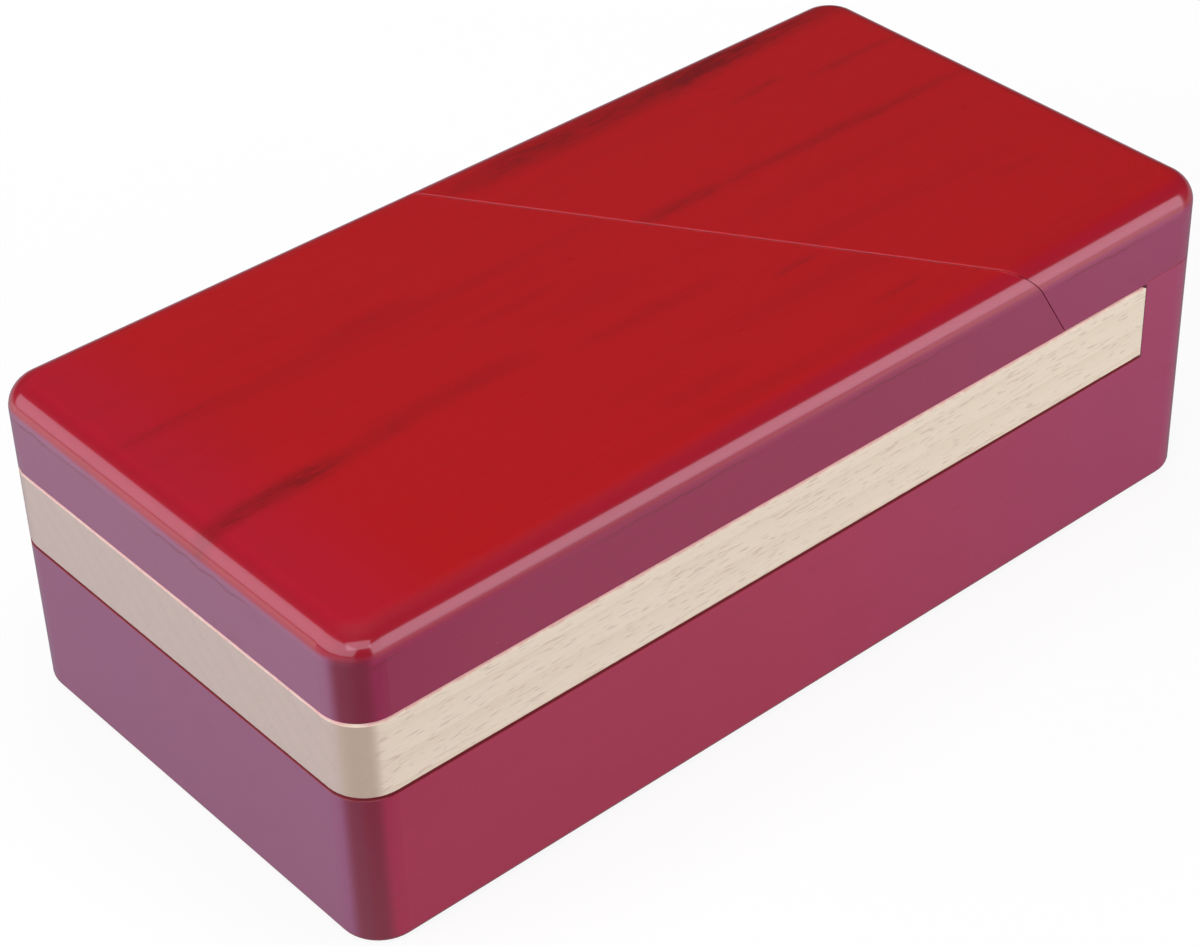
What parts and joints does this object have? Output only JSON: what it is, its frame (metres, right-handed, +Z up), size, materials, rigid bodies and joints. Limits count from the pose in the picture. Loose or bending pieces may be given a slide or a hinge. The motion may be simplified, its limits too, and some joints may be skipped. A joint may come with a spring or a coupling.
{
  "type": "puzzle box",
  "caption": "Wooden trick box: a lacquered block whose lid swivels out along a bevelled diagonal seam once its hidden drop pins are knocked free.",
  "frame": {"origin": "middle of the underside, on the surface that the box rests on", "axes": "+X along the length from the left end to the fixed right end, -Y towards the front, +Z up"},
  "size_m": [0.135, 0.0676, 0.0435],
  "materials": {
    "red_lacquer": "clear red stain under gloss lacquer",
    "natural_beech": "clear lacquered beech",
    "dowel_wood": "raw beech",
    "steel": "zinc plated",
    "brass": "turned",
    "nickel": "nickel plated"
  },
  "bodies": {
    "base": {"base_block": "red_lacquer", "end_top_plate": "red_lacquer", "end_dowels": "dowel_wood", "pivot_screw": "steel", "pivot_washer": "steel", "stop_pin": "steel", "lock_collar_front": "brass", "lock_collar_back": "brass"},
    "lid": {"lid_slab": "natural_beech", "lid_top_plate": "red_lacquer", "lid_dowels": "dowel_wood", "lock_magnet_front": "nickel", "lock_magnet_back": "nickel"},
    "lock_pin_front": {"lock_pin_front": "steel"},
    "lock_pin_back": {"lock_pin_back": "steel"}
  },
  "joints": [
    {"name": "lid_swivel", "type": "hinge", "parent": "base", "child": "lid", "pos_m": [-0.0595, 0.02575, 0.0215], "axis": [0, 0, 1], "range_deg": [-95, 0]},
    {"name": "lock_pin_front_slide", "type": "slide", "parent": "base", "child": "lock_pin_front", "axis": [0, 0, 1], "range_m": [0, 0.0044]},
    {"name": "lock_pin_back_slide", "type": "slide", "parent": "base", "child": "lock_pin_back", "axis": [0, 0, 1], "range_m": [0, 0.0044]}
  ]
}
